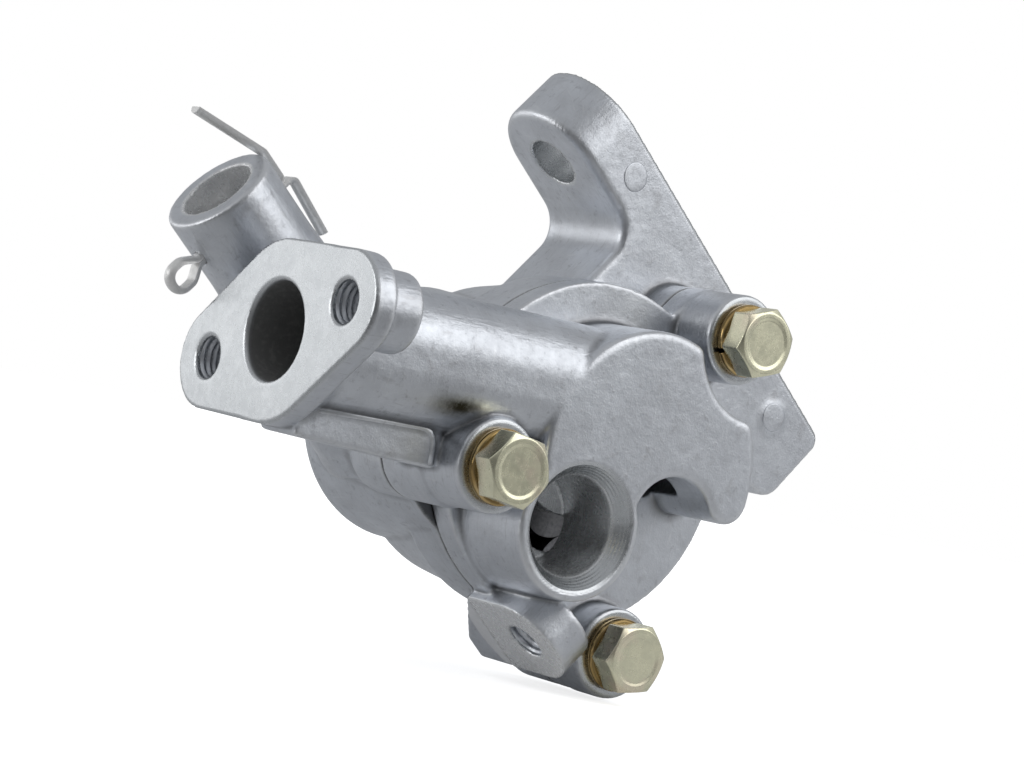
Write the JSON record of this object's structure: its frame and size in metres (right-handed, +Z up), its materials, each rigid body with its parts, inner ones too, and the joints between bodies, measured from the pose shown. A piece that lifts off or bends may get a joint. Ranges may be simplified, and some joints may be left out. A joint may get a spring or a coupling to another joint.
{
  "type": "engine oil pump",
  "caption": "Chain-driven trochoid engine oil pump with a cast body and cover, a delivery arm with a flange, a pickup bore, a bolted bracket and a spring relief valve.",
  "frame": {"origin": "on the drive shaft's axis at the shoulder that the sprocket seats against", "axes": "+Y out of the drive end along the shaft, -X out of the delivery flange, +Z up"},
  "size_m": [0.1637, 0.114, 0.1235],
  "materials": {
    "cast_alloy": "die cast, satin",
    "sintered_steel": "sintered and ground",
    "ground_steel": "ground",
    "bearing_bronze": "bored bronze",
    "spring_steel": "oiled wire",
    "split_pin_steel": "drawn wire",
    "zinc_plate": "yellow zinc plate",
    "washer_plate": "golden zinc plate"
  },
  "bodies": {
    "casing": {"pump_body": "cast_alloy", "pump_cover": "cast_alloy", "shaft_bush": "bearing_bronze", "relief_spring_seat": "ground_steel", "relief_spring": "spring_steel", "relief_split_pin": "split_pin_steel", "cover_bolt_left": "zinc_plate", "cover_bolt_upper": "zinc_plate", "cover_bolt_lower": "zinc_plate", "spring_washer_left": "washer_plate", "spring_washer_upper": "washer_plate", "spring_washer_lower": "washer_plate", "cover_dowel_1": "ground_steel", "cover_dowel_2": "ground_steel"},
    "shaft": {"drive_shaft": "ground_steel", "inner_rotor": "sintered_steel", "rotor_drive_pin": "ground_steel", "woodruff_key": "ground_steel"},
    "ring": {"outer_rotor": "sintered_steel"},
    "valve": {"relief_plunger": "ground_steel"}
  },
  "joints": [
    {"name": "shaft_spin", "type": "hinge", "parent": "casing", "child": "shaft", "pos_m": [0, 0, 0], "axis": [0, 1, 0], "continuous": true},
    {"name": "ring_spin", "type": "hinge", "parent": "casing", "child": "ring", "pos_m": [0.00232, 0, -0.0019], "axis": [0, 1, 0], "continuous": true},
    {"name": "relief_slide", "type": "slide", "parent": "casing", "child": "valve", "axis": [-0.7749, 0, 0.632], "range_m": [0, 0.008], "stiffness_N_per_m": 2500, "springref_m": -0.012, "deforming": ["relief_spring"]}
  ],
  "couplings": [
    {"joint": "ring_spin", "follows": "shaft_spin", "ratio": 0.8}
  ]
}
